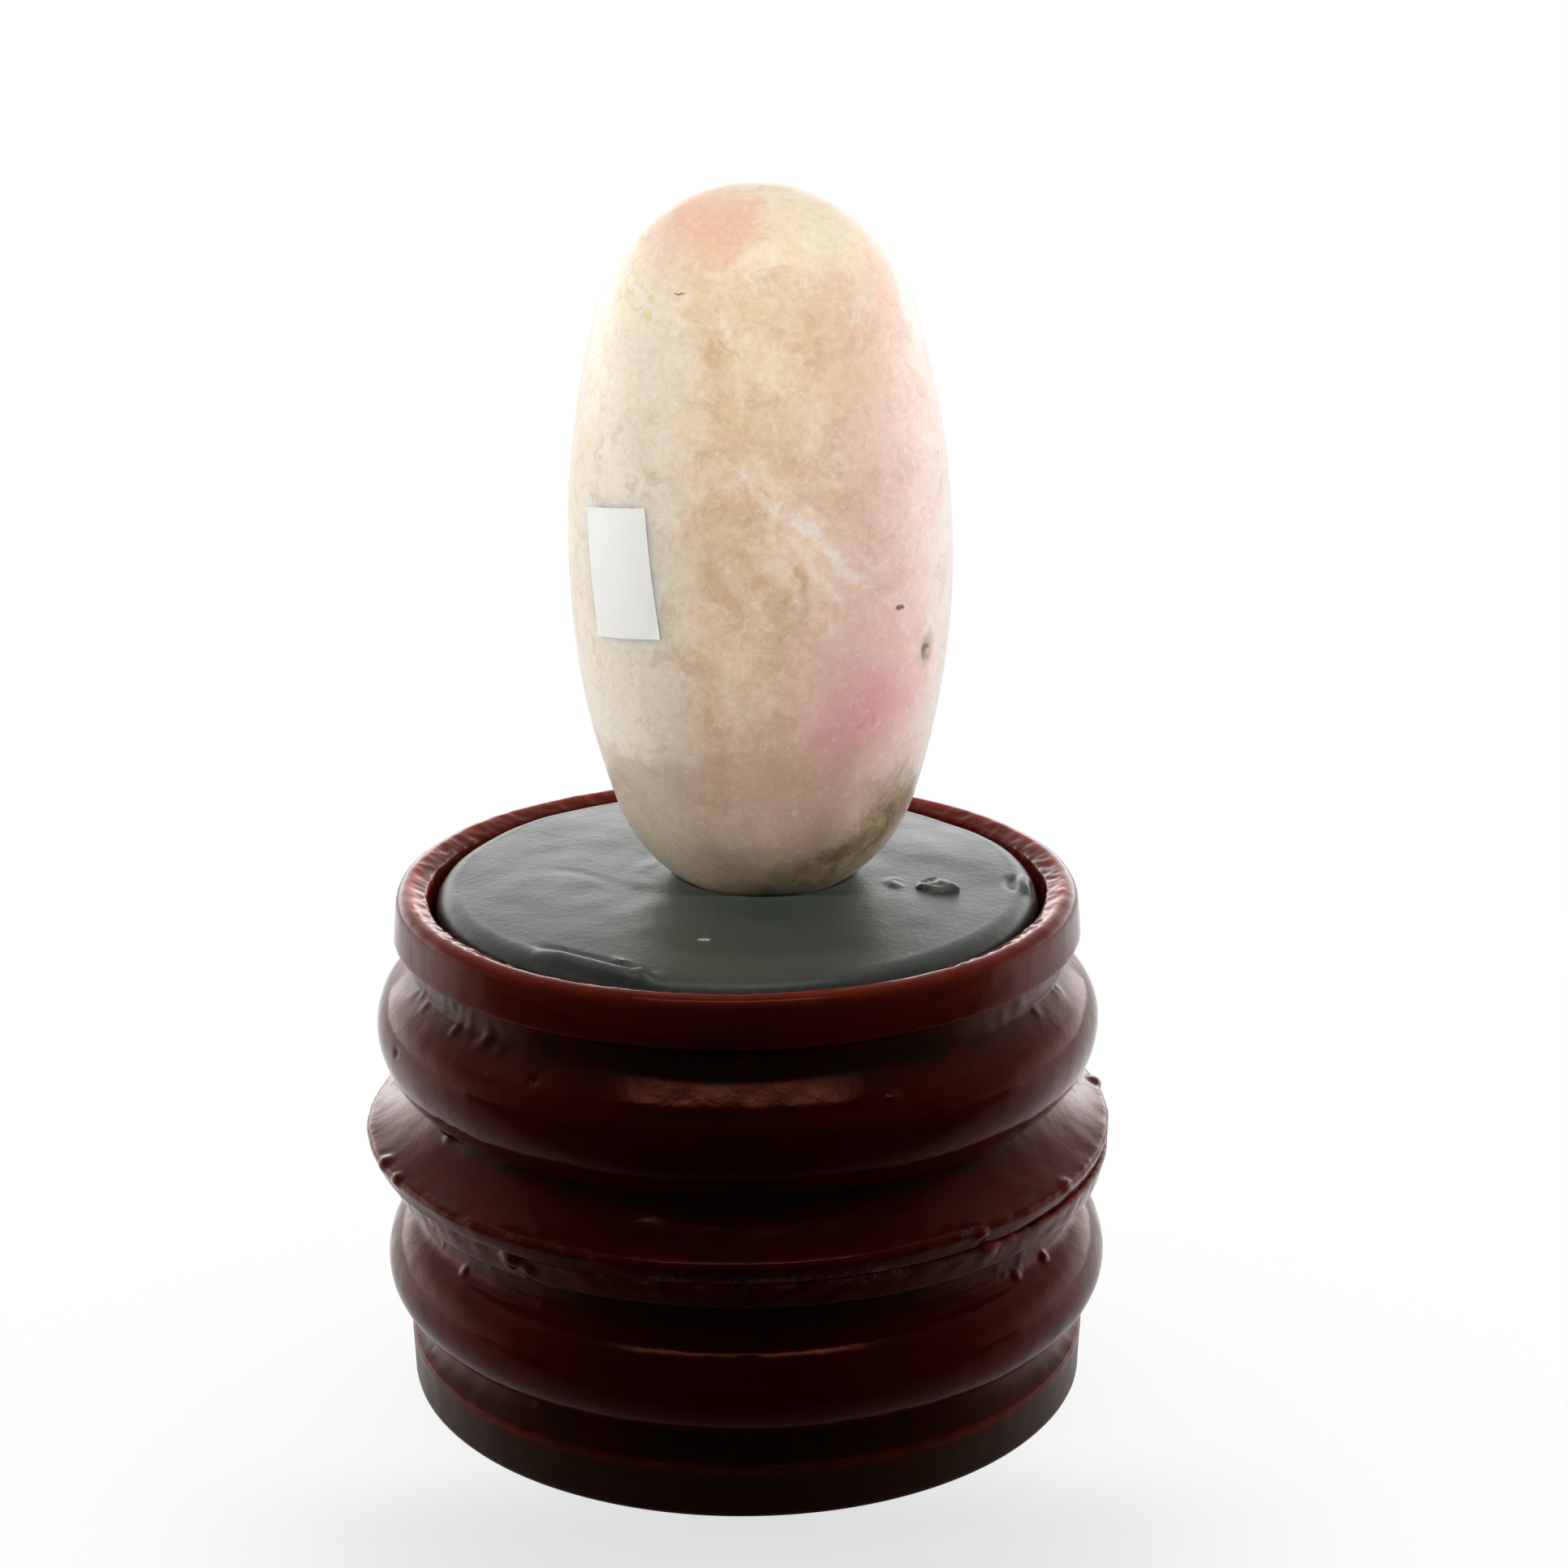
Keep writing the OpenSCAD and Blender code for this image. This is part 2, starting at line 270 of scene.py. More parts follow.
# A painted shadow greys the paper's white in front of the foot.
shaded = paper.step(off_foot, 85, 25) * paper.step(to_front, -25, -50)
white = paper.mix(shaded * SHADE_SHARE, white, SHADE)
glow = paper.mix(seen[0].larger(mirrored), (0, 0, 0), white)
paper.plug(paper.shader.inputs["Base Color"], paper.mix(behind, *greys))
paper.plug(paper.shader.inputs["Emission Color"], glow)
floor.data.materials.append(paper.material)
print("tent light %.2f, panel %.2f, floor %.0f m wide" % (TENT_LIGHT, PANEL_LIGHT, 2 * FLOOR_R))

# %% [markdown]
# ## Drawing outlines and turning them
#
# Every round piece here was turned, pressed or polished about an axis, so each starts as half an
# outline. The outline could be a list of points worked out by hand. Here a single vertex is
# extruded for the straight runs and spun about a centre for the arcs, as a pencil and a compass
# would, and the finished wire is then spun about the piece's axis.

# %% Outline and lathe
class Outline:
    """A wire in the XZ plane, in millimetres, drawn from one end to the other."""

    def __init__(self, x, z):
        self.bm = bmesh.new()
        self.tip = self.bm.verts.new((x, 0, z))

    def line(self, x, z):
        made = bmesh.ops.extrude_vert_indiv(self.bm, verts=[self.tip])
        self.tip = made["verts"][0]
        self.tip.co = (x, 0, z)
        return self

    def arc(self, centre, turn, steps=16):
        """Round a centre, by turn degrees; a positive turn bends to the left."""
        made = bmesh.ops.spin(self.bm, geom=[self.tip], cent=(centre[0], 0, centre[1]),
                              axis=(0, -1, 0), angle=radians(turn), steps=steps)
        self.tip = [g for g in made["geom_last"] if isinstance(g, bmesh.types.BMVert)][0]
        return self

    def arc_to(self, x, z, radius, steps=16):
        """To a point, on a circle of that radius; a negative radius bends to the right."""
        start, end = Vector((self.tip.co.x, self.tip.co.z)), Vector((x, z))
        chord = end - start
        left = Vector((-chord.y, chord.x)).normalized() * (1 if radius > 0 else -1)
        centre = (start + end) / 2 + left * sqrt(radius ** 2 - chord.length_squared / 4)
        return self.arc(centre, degrees(2 * asin(chord.length / 2 / radius)), steps)

    def corner(self, at, after, radius, steps=6):
        """To a corner that is rounded on the way to the next point."""
        at, after = Vector(at), Vector(after)
        back = (Vector((self.tip.co.x, self.tip.co.z)) - at).normalized()
        ahead = (after - at).normalized()
        half = acos(max(-1, min(1, back.dot(ahead)))) / 2
        start = at + back * radius / tan(half)
        centre = at + (back + ahead).normalized() * radius / sin(half)
        turn = 180 - 2 * degrees(half)
        return self.line(*start).arc(centre, turn if ahead.cross(back) > 0 else -turn, steps)

    def even(self, longest, outside=0.0):
        """Cuts the long runs outside a radius into short ones."""
        for edge in list(self.bm.edges):
            if min(v.co.x for v in edge.verts) >= outside:
                cuts = ceil(edge.calc_length() / longest) - 1
                if cuts > 0:
                    bmesh.ops.subdivide_edges(self.bm, edges=[edge], cuts=cuts)
        return self

    def lathe(self, steps, axis_x=0.0):
        """Turns the wire by an eighth and copies that round: quicker than one long spin."""
        bm = self.bm
        bmesh.ops.spin(bm, geom=bm.verts[:] + bm.edges[:], cent=(0, 0, 0), axis=(0, 0, 1),
                       angle=pi / 4, steps=steps // 8)
        for turn in (pi / 4, pi / 2, pi):
            made = bmesh.ops.duplicate(bm, geom=bm.verts[:] + bm.edges[:] + bm.faces[:])
            copied = [g for g in made["geom"] if isinstance(g, bmesh.types.BMVert)]
            bmesh.ops.rotate(bm, cent=(0, 0, 0), matrix=Matrix.Rotation(turn, 3, "Z"), verts=copied)
        bmesh.ops.remove_doubles(bm, verts=bm.verts, dist=0.001)
        bmesh.ops.recalc_face_normals(bm, faces=bm.faces)
        bmesh.ops.translate(bm, vec=(axis_x, 0, 0), verts=bm.verts)
        return bm


def set_piece(name, bm, finish, body, node, crease=38):
    """Makes the finished mesh, still in millimetres, a piece that rides on a body."""
    bmesh.ops.scale(bm, vec=(MM, MM, MM), verts=bm.verts)
    bm.normal_update()
    for face in bm.faces:
        face.smooth = True
    for edge in bm.edges:
        edge.smooth = edge.calc_face_angle(0) < radians(crease)
    mesh = bpy.data.meshes.new(name)
    bm.to_mesh(mesh)
    bm.free()
    mesh.materials.append(finish.material)
    piece = bpy.data.objects.new(name, mesh)
    scene.collection.objects.link(piece)
    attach(piece, body)
    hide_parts(node)
    print("%s: %d faces for %s" % (name, len(mesh.polygons), node))


# %% [markdown]
# ## Marks of the hand
#
# Nothing on this object is perfect: the lacquer has nibs and runs, the putty has folds and the
# stone was polished by hand. A sculptor would push such marks in with brushes. Three small
# functions do the same to a mesh: a ripple moves the whole surface a little, a press raises or
# sinks small round places, and a stroke does so along a line.

# %% Ripple, press and stroke
def ripple(bm, size, height, seed=0.0, share=lambda co: 1.0):
    """Moves the surface in and out by a smooth noise of that size and height."""
    bm.normal_update()
    shift = Vector((seed, 2 * seed, 3 * seed))
    for v in bm.verts:
        v.co += v.normal * (height * share(v.co) * noise.noise(v.co / size + shift))


def press(bm, marks):
    """Each mark is a point, a radius and a height along the surface's own normal."""
    bm.normal_update()
    bm.verts.ensure_lookup_table()
    tree = kdtree.KDTree(len(bm.verts))
    for i, v in enumerate(bm.verts):
        tree.insert(v.co, i)
    tree.balance()
    for point, radius, height in marks:
        for _, i, away in tree.find_range(point, radius):
            v = bm.verts[i]
            v.co += v.normal * (height * (1 - (away / radius) ** 2) ** 2)


def along(points, gap=0.3):
    """Points along a smooth line through the given ones, about gap apart."""
    out = []
    for i in range(len(points) - 1):
        before, a, b, after = [Vector(points[max(0, min(len(points) - 1, i + k))])
                               for k in (-1, 0, 1, 2)]
        count = max(2, int((b - a).length / gap))
        for k in range(count):
            t = k / count
            out.append(0.5 * (2 * a + (b - before) * t + (2 * before - 5 * a + 4 * b - after) * t ** 2
                              + (3 * a - before - 3 * b + after) * t ** 3))
    return out + [Vector(points[-1])]


def stroke(bm, points, width, height):
    """Raises or presses the surface along a line, and fades out at its ends."""
    bm.normal_update()
    path = along(points)
    tree = kdtree.KDTree(len(path))
    for i, p in enumerate(path):
        tree.insert(p, i)
    tree.balance()
    for v in bm.verts:
        _, i, away = tree.find(v.co)
        if away < width:
            end = min(1.0, 4 * min(i, len(path) - 1 - i) / len(path) + 0.1)
            v.co += v.normal * (height * end * (1 - (away / width) ** 2) ** 2)


def round_about(axis_x, radius, bearing, z):
    """The point at a bearing from the front: minus is to the left of it, plus to the right."""
    turn = radians(bearing - 90)
    return Vector((axis_x + radius * cos(turn), radius * sin(turn), z))


print("sculpting helpers ready")

# %% [markdown]
# ## The stone's shape
#
# The stone is a tall oval with two flat flanks and two rounder ends. A stretched sphere would be
# too pointed, so half the outline is three arcs that run into each other: a tip, a long flank and
# a tip. It was ground by hand, so a slow ripple of about a tenth of a millimetre and two small
# pits break the perfect turn.

# %% Stone mesh
STONE_A, STONE_C, FLANK_R = 49.7 / 2, 94.2 / 2, 108.0
TIP_R = (2 * FLANK_R * STONE_A - STONE_A ** 2 - STONE_C ** 2) / (2 * (FLANK_R - STONE_C))
TIP_Z, FLANK_X = STONE_C - TIP_R, STONE_A - FLANK_R
JOIN = degrees(atan2(TIP_Z, -FLANK_X))
STONE_FOOT, STONE_LEAN = Vector((4.0, 0, 67.7)), radians(0.8)
STONE_PLACE = (Matrix.Translation(STONE_FOOT) @ Matrix.Rotation(-STONE_LEAN, 4, "Y")
               @ Matrix.Translation((0, 0, STONE_C)))
STONE_MID = STONE_PLACE @ Vector((0, 0, 0))


def stone_radius(h):
    """Radius of the stone at a height from its middle."""
    if abs(h) < FLANK_R * sin(radians(JOIN)):
        return sqrt(FLANK_R ** 2 - h ** 2) + FLANK_X
    return sqrt(max(0.0, TIP_R ** 2 - (abs(h) - TIP_Z) ** 2))


def on_stone(h, bearing):
    """The point of the stone's own surface at a height and a bearing from +X in degrees."""
    turn = radians(bearing)
    return Vector((stone_radius(h) * cos(turn), stone_radius(h) * sin(turn), h))


outline = Outline(0, -STONE_C).arc((0, -TIP_Z), 90 - JOIN, 34)
outline.arc((FLANK_X, 0), 2 * JOIN, 64).arc((0, TIP_Z), 90 - JOIN, 34)
stone_bm = outline.lathe(224)
ripple(stone_bm, 17.0, 0.16, seed=3.1)
ripple(stone_bm, 6.0, 0.035, seed=8.4)
PIT = on_stone(-10.2, -32)
press(stone_bm, [(PIT, 1.7, -0.5), (PIT + Vector((0.4, 0.6, 1.5)), 0.9, -0.25),
                 (on_stone(-5.5, -41), 0.8, -0.15)])
bmesh.ops.transform(stone_bm, matrix=STONE_PLACE, verts=stone_bm.verts)
print("stone: tips of %.1f mm radius, %d vertices" % (TIP_R, len(stone_bm.verts)))

# %% [markdown]
# ## The stone's finish
#
# The stone is cream and warm beige with pink clouds, a few pale veins and an olive stain low on
# the right. Light goes some way into it, so it glows and its edge is soft. Each zone is a spot
# whose place was read off the photograph, pushed about by noise so that its border wanders like a
# mineral's. Subsurface scattering gives the glow.

# %% Stone finish
stone = Finish("polished_stone", Subsurface_Weight=1.0, Subsurface_Scale=0.005, IOR=1.5)
stone.shader.inputs["Subsurface Radius"].default_value = (1.0, 0.72, 0.52)
at = stone.place(STONE_MID)
drift = stone.warp(at, 9.0, 9.0)
curl = stone.warp(stone.warp(drift, 5.0, 5.5), 1.9, 2.2)
across, _, rise = stone.axes(drift)
cloudy = stone.cloud(curl, 9.0, 6.0, 0.65)
mottle = stone.cloud(curl, 4.0, 6.0, 0.7)

body = stone.mix(stone.step(cloudy, 0.35, 0.65), (0.72, 0.53, 0.36), (0.90, 0.73, 0.56))
# Lighter cream towards the top: the stone's own cream, with painted light from above laid over it.
body = stone.mix(stone.step(rise, 6.0, 26.0) * 0.75, body,
                 stone.mix(stone.step(cloudy, 0.3, 0.7), (0.86, 0.69, 0.46), (0.95, 0.84, 0.66)))
body = stone.mix(stone.step(across, 2.0, 17.0) * 0.7, body, (0.91, 0.66, 0.60))
# A painted sheen: the right edge is a paler pink, standing for the side light that catches it.
body = stone.mix(stone.step(across, 15.0, 25.0), body, (0.96, 0.80, 0.76))
body = stone.mix(stone.step(across, -6.0, -12.5) * 0.85, body,
                 stone.mix(cloudy, (0.84, 0.74, 0.57), (0.94, 0.89, 0.77)))
body = stone.mix(stone.step(mottle, 0.50, 0.34) * 0.6, body, stone.mix(0.5, body, (0.52, 0.33, 0.18)))
body = stone.mix(stone.step(mottle, 0.54, 0.70) * 0.5, body, (0.96, 0.89, 0.80))
print("stone ground: %d nodes" % len(stone.tree.nodes))

# %% Stone clouds, veins, stains and painted shade
# The last two spots darken the stone's lower front towards the putty: partly its own tone, partly
# painted shade.
for where, radii, soft, colour, share in (
        (on_stone(43, -130), (15, 12, 8), 0.9, (0.94, 0.56, 0.42), 0.75),
        (on_stone(42, -50), (12, 12, 9), 0.9, (0.95, 0.86, 0.66), 0.8),
        (on_stone(26, -60), (12, 10, 10), 0.9, (0.84, 0.64, 0.38), 0.35),
        (on_stone(6, -100), (9, 9, 9), 0.9, (0.76, 0.58, 0.38), 0.4),
        (on_stone(-12, -54), (18, 16, 18), 0.9, (0.89, 0.58, 0.54), 0.7),
        (on_stone(-15, -50), (11, 11, 8), 0.95, (0.84, 0.36, 0.38), 0.55),
        (on_stone(-19, -60), (10, 10, 7), 0.95, (0.84, 0.38, 0.39), 0.5),
        (on_stone(-24, -66), (8, 8, 6), 0.95, (0.82, 0.44, 0.42), 0.35),
        (on_stone(-26, -85), (22, 14, 10), 0.9, (0.69, 0.49, 0.37), 0.65),
        (on_stone(-38, -90), (26, 26, 10), 0.9, (0.58, 0.42, 0.30), 0.6)):
    body = stone.mix(stone.spot(curl, where, radii, soft) * share, body, colour)

vein_zone = stone.spot(drift, on_stone(6, -72), (22, 18, 19), 0.8) * stone.step(mottle, 0.30, 0.65)
bend = stone.axes(stone.warp(stone.warp(at, 10.0, 7.0), 2.2, 2.4))
slant = (bend[0] + bend[2]) * 0.707
for line, width, share in (
        (9.4, 1.0, 0.7), (7.0, 0.6, 0.4), (11.8, 0.6, 0.35), (3.0, 1.1, 0.35), (-2.5, 1.2, 0.3)):
    gap = slant - line
    vein = stone.step(gap * gap, width ** 2, 0.0) * vein_zone
    body = stone.mix(vein * share, body, (0.98, 0.91, 0.86))
# Darker and browner low on the left: partly its own tone, partly painted shade near the putty.
low_left = stone.step(rise, -22.8, -24.4) * stone.step(across, -6.0, -14.0)
body = stone.mix(low_left * 0.5, body, stone.mix(mottle, (0.50, 0.37, 0.23), (0.72, 0.58, 0.42)))
olive = stone.mix(stone.step(mottle, 0.35, 0.65), (0.17, 0.125, 0.05), (0.46, 0.36, 0.20))
# The first three spots are the olive stain; the last, a thin olive line along the stone's foot, is a
# painted contact shade where it sits in the putty.
for where, radii, share in (
        (on_stone(-31, -34), (9, 10, 7.5), 0.9), (on_stone(-36, -50), (11, 12, 8), 0.95),
        (on_stone(-41, -64), (11, 10, 6), 0.8), (on_stone(-44, -95), (18, 10, 4), 0.4)):
    body = stone.mix(stone.spot(curl, where, radii, 0.8) * share, body, olive)
print("stone marks: %d nodes" % len(stone.tree.nodes))

# %% Stone specks, grain and gloss
grit = stone.step(stone.cloud(at, 1.3, 3.0), 0.58, 0.66)
grit = grit * stone.spot(drift, on_stone(36, -135), (11, 11, 9), 0.7)
body = stone.mix(grit * 0.8, body, (0.84, 0.70, 0.36))
halo = stone.spot(curl, PIT + Vector((0, 0, 3.5)), (3.6, 3.6, 4.0), 0.8)
body = stone.mix(halo * 0.8, body, (0.95, 0.88, 0.80))
ragged = stone.warp(at, 1.4, 2.2)
body = stone.mix(stone.spot(ragged, PIT, (2.6, 2.6, 3.6), 0.9) * 0.8, body, (0.44, 0.33, 0.22))
body = stone.mix(stone.spot(ragged, PIT, (1.2, 1.2, 1.8), 0.8), body, (0.22, 0.16, 0.09))
nicked = stone.warp(at, 0.8, 0.9)
for where, radii in ((on_stone(-3.6, -46), (1.1, 1.1, 0.4)), (on_stone(35.2, -121), (0.9, 0.8, 0.2))):
    body = stone.mix(stone.spot(nicked, where, radii, 0.5), body, (0.20, 0.15, 0.09))
grain = stone.cloud(at, 0.9, 5.0, 0.75)
body = stone.mix(stone.step(grain, 0.60, 0.30) * 0.40, body, stone.mix(0.45, body, (0.50, 0.33, 0.20)))
body = stone.mix(stone.step(grain, 0.54, 0.70) * 0.40, body, (0.97, 0.92, 0.84))
stone.wear(body, stone.cloud(at, 5.0) * 0.12 + 0.24, stone.cloud(at, 0.5, 2.0), 0.006)
set_piece("stone", stone_bm, stone, "stone", "lingam_stone")

# %% [markdown]
# ## The paper label
#
# A small paper label is gummed to the left of the stone's front. It is bare here. A flat grid is
# cut to the label's size, turned a little, and laid on the stone by moving each of its vertices to
# the stone's own surface. Solidify then gives it the paper's thickness.

# %% Label
LABEL_W, LABEL_H, LABEL_T = 11.2, 16.4, 0.2
LABEL_RISE, LABEL_BEARING, LABEL_TILT = 1.0, 224.0, 7.0
GUM, CURL, WAVE, WAVE_SIZE = 0.06, 0.22, 0.025, 3.0
bm = bmesh.new()
bmesh.ops.create_grid(bm, x_segments=34, y_segments=50, size=0.5)
bmesh.ops.scale(bm, vec=(LABEL_W, LABEL_H, 1), verts=bm.verts)
for v in bm.verts:
    corner = (abs(v.co.x) / LABEL_W * 2) ** 6 * (abs(v.co.y) / LABEL_H * 2) ** 8
    v.co.z = GUM + CURL * corner + WAVE * noise.noise(v.co / WAVE_SIZE)
bmesh.ops.rotate(bm, cent=(0, 0, 0), matrix=Matrix.Rotation(radians(LABEL_TILT), 3, "Z"),
                 verts=bm.verts)
for v in bm.verts:
    h = LABEL_RISE + v.co.y
    turn = LABEL_BEARING + degrees(v.co.x / stone_radius(h))
    lift = Vector((cos(radians(turn)), sin(radians(turn)), 0)) * v.co.z
    v.co = STONE_PLACE @ (on_stone(h, turn) + lift)
bmesh.ops.recalc_face_normals(bm, faces=bm.faces)
out = bm.faces[:][0]
if out.normal.dot(out.calc_center_median() - STONE_MID) < 0:
    bmesh.ops.reverse_faces(bm, faces=bm.faces)
bmesh.ops.solidify(bm, geom=bm.faces[:], thickness=LABEL_T * 0.5)

label_paper = Finish("label_paper", Specular_IOR_Level=0.25)
at = label_paper.place(STONE_MID)
fibre = label_paper.cloud(at, 0.5, 5.0, 0.7)
sheet = label_paper.mix(fibre * 0.35, (0.96, 0.95, 0.92), (0.86, 0.84, 0.80))
sheet = label_paper.mix(label_paper.cloud(at, 5.0) * 0.3, sheet, (0.90, 0.86, 0.78))
label_paper.wear(sheet, fibre * 0.15 + 0.62, fibre, 0.02)
set_piece("label", bm, label_paper, "stone", "paper_label")

# %% [markdown]
# ## The putty's shape
#
# The putty was pressed into the cup by thumb. Its top is a shallow dome with a soft rolled edge,
# a dark crevice parts it from the rim, and the stone has pressed a round dent in it. The stone
# stands a little to the right of the cup's axis, so the turned shape's inner rings are slid over
# to the stone's foot. Folds and smears are then stroked in.

# %% Putty mesh
CROWN_Z, RIM_Z, CUP_FLOOR_Z = 71.1, 69.8, 60.8
SHOULDER_R, SHOULDER_Z, EDGE_R, EDGE_Z, CREVICE_Z = 36.8, 69.95, 40.1, 67.0, 65.4
SEAT_GAP, SEAT_X = 0.15, STONE_FOOT.x - TIP_R * sin(STONE_LEAN)
SEAT_Z = STONE_FOOT.z + TIP_R * cos(STONE_LEAN)
DENT_ANGLE = degrees(acos((SEAT_Z - CROWN_Z - 0.1) / (TIP_R + SEAT_GAP)))
DENT_R = (TIP_R + SEAT_GAP) * sin(radians(DENT_ANGLE))

outline = Outline(0, SEAT_Z - TIP_R - SEAT_GAP)
outline.arc((0, SEAT_Z), DENT_ANGLE, 18)
outline.arc_to(DENT_R + 1.1, CROWN_Z + 0.12, -1.6, 6).arc_to(DENT_R + 5.5, CROWN_Z - 0.18, 40, 7)
outline.arc_to(SHOULDER_R, SHOULDER_Z, -210, 34).arc_to(EDGE_R, EDGE_Z, -3.2, 18)
outline.line(EDGE_R - 0.3, CREVICE_Z)
outline.line(40.05, CUP_FLOOR_Z + 0.05).line(0, CUP_FLOOR_Z + 0.05)
putty_bm = outline.even(0.8, outside=38.0).lathe(400)


def slide_to_seat(bm):
    for v in bm.verts:
        away = hypot(v.co.x, v.co.y)
        t = max(0.0, min(1.0, (34.0 - away) / 20.0))
        v.co.x += SEAT_X * t * t * (3 - 2 * t)


def on_putty(x, y):
    """A point of the putty's domed top."""
    return Vector((x, y, CROWN_Z - (x * x + y * y) / 1200.0))


def top_share(co):
    """1 on the putty's open top, 0 in the dent and down the crevice."""
    from_seat = hypot(co.x - SEAT_X, co.y)
    return max(0.0, min(1.0, (from_seat - DENT_R) / 4)) * max(0.0, min(1.0, (co.z - 66.0) / 2))


slide_to_seat(putty_bm)
ripple(putty_bm, 16.0, 0.28, seed=1.7, share=top_share)
ripple(putty_bm, 5.0, 0.07, seed=5.2, share=top_share)
FOLD = [(-25.5, -28.0), (-22.0, -30.4), (-18.0, -33.2), (-14.5, -35.4), (-10.5, -37.6)]
for points, width, height in (
        (FOLD, 1.9, 0.75), ([(x + 0.6, y + 1.6) for x, y in FOLD], 0.9, -0.6),
        (((-15.5, -31.5), (-12.8, -34.2), (-10.8, -37.2)), 1.0, 0.5),
        (((38.4, -6.5), (38.0, -3.5), (38.9, 0.2)), 1.5, 0.8),
        (((36.6, -6.0), (36.2, -3.2), (36.8, -0.4)), 1.0, -0.55),
        (((21.3, -3.5), (20.4, -5.2), (21.2, -7.6)), 1.3, 0.35),
        (((-11.0, 4.0), (-13.5, -2.0), (-12.0, -8.0)), 2.0, 0.15),
        (((-24.5, 2.0), (-19.0, -2.5), (-14.5, -7.5)), 1.6, -0.10)):
    stroke(putty_bm, [on_putty(*p) for p in points], width, height)
print("putty: dent %.1f mm across, %d vertices" % (2 * DENT_R, len(putty_bm.verts)))

# %% [markdown]
# ## The putty's finish
#
# Putty is a dull grey-green with a faint sheen where it turns away from the eye. Thumb prints and
# grit give it a fine skin, so the bump has two sizes, and the colour drifts a little. One white
# fleck lies on the front.

# %% Putty finish
putty = Finish("grey_putty", IOR=1.55)
at = putty.place((0, 0, CROWN_Z))
shade = putty.mix(putty.cloud(at, 12.0, 4.0), (0.064, 0.079, 0.068), (0.110, 0.131, 0.114))
grit = putty.step(putty.cloud(at, 0.7, 3.0), 0.45, 0.75)
shade = putty.mix(grit * 0.35, shade, (0.140, 0.156, 0.140))
fleck_at = on_putty(-4.1, -26.4) - Vector((0, 0, CROWN_Z))
fleck = putty.spot(putty.warp(at, 1.0, 0.8), fleck_at, (0.9, 0.5, 0.6), 0.3)
shade = putty.mix(fleck, shade, (0.80, 0.80, 0.76))
skin = putty.cloud(at, 1.1, 4.0, 0.6)
putty.wear(shade, putty.cloud(at, 6.0) * 0.14 + 0.29, skin, 0.07)
set_piece("putty", putty_bm, putty, "stand", "putty_pad", crease=70)

# %% [markdown]
# ## The stray crumb
#
# A pinched bit of putty sticks to the pad on the right. It is a flattened lump with a worn top, so
# it starts as a ball of triangles, is flattened and pinched, and gets a coarse ripple. Its flat
# side rests on the dome.

# %% Crumb
CRUMB_AT, CRUMB_SIZE = on_putty(26.4, -6.58), (3.0, 2.5, 1.1)
bm = bmesh.new()
bmesh.ops.create_icosphere(bm, subdivisions=5, radius=1.0)
for v in bm.verts:
    v.co.z = max(v.co.z, -0.35)
    v.co.z = min(v.co.z, 0.72 + 0.1 * v.co.x)
    v.co.y *= 1 - 0.25 * v.co.x
bmesh.ops.scale(bm, vec=CRUMB_SIZE, verts=bm.verts)
bmesh.ops.smooth_vert(bm, verts=bm.verts, factor=0.5,
                      use_axis_x=True, use_axis_y=True, use_axis_z=True)
open_side = lambda co: 1.0 if co.z > 0 else 0.2
ripple(bm, 1.6, 0.28, seed=6.6, share=open_side)
ripple(bm, 0.6, 0.07, seed=2.2, share=open_side)
bmesh.ops.rotate(bm, cent=(0, 0, 0), matrix=Matrix.Rotation(radians(-18), 3, "Z"), verts=bm.verts)
bmesh.ops.translate(bm, vec=CRUMB_AT, verts=bm.verts)
set_piece("crumb", bm, putty, "stand", "putty_crumb", crease=60)

# %% [markdown]
# ## The lacquer
#
# The stand is wood under thick red lacquer. It is glossy, a little wavy, darker where it pooled,
# and grimy in the coves and round the foot, where a painted shade darkens it as well. On the
# edges the lacquer has drawn back to a brighter red, which is also a painted highlight along
# them, and where an edge has chipped, the pale ground shows. These edge and chipped places are
# painted on the mesh as attributes while it is shaped, so that each colour sits exactly on its edge.

# %% Lacquer finish
COVES = ((56.5, 59.5, 62.6, 64.0), (40.6, 42.2, 43.0, 44.6),
         (24.0, 27.0, 29.6, 31.0), (6.4, 8.4, 10.6, 13.0))
lacquer = Finish("red_lacquer", IOR=1.35, Specular_Tint=(1.0, 0.30, 0.18, 1))
at = lacquer.place((0, 0, 0))
_, _, height = lacquer.axes(at)
coat = lacquer.mix(lacquer.cloud(at, 22.0, 3.0), (0.185, 0.0210, 0.0096), (0.290, 0.0365, 0.0168))
streak = lacquer.vector("MULTIPLY", at, (1, 1, 4))
pooled = lacquer.step(lacquer.cloud(streak, 9.0, 5.0), 0.5, 0.78)
coat = lacquer.mix(pooled * 0.55, coat, (0.075, 0.0100, 0.0064))
# Brighter red where the lacquer has drawn back from the edges, and a painted highlight along them.
thin_and_highlit = lacquer.node("Attribute", {"attribute_name": "thin_and_highlit"}, out="Fac")
coat = lacquer.mix(thin_and_highlit, coat, (0.55, 0.062, 0.026))
blotch = lacquer.cloud(lacquer.warp(at, 4.0, 9.0), 5.0, 6.0, 0.65)
# Dust and a painted shade: the coves and the foot's face are made darker, olive and rougher.
bands = [lacquer.step(height, low, low_in) * lacquer.step(height, high, high_in)
         for low, low_in, high_in, high in COVES]
dust_and_shade = bands[0]
for band in bands[1:]:
    dust_and_shade = dust_and_shade.larger(band)
dust_and_shade = (dust_and_shade * lacquer.step(blotch, 0.22, 0.62)).larger(lacquer.step(height, 7.0, 5.8) * 0.95)
grime_and_shade = lacquer.mix(blotch, (0.026, 0.024, 0.014), (0.085, 0.068, 0.040))
coat = lacquer.mix(dust_and_shade * 0.8, coat, grime_and_shade)
chip = lacquer.node("Attribute", {"attribute_name": "chip"}, out="Fac")
chip = chip * lacquer.step(lacquer.cloud(at, 0.8, 4.0), 0.40, 0.56)
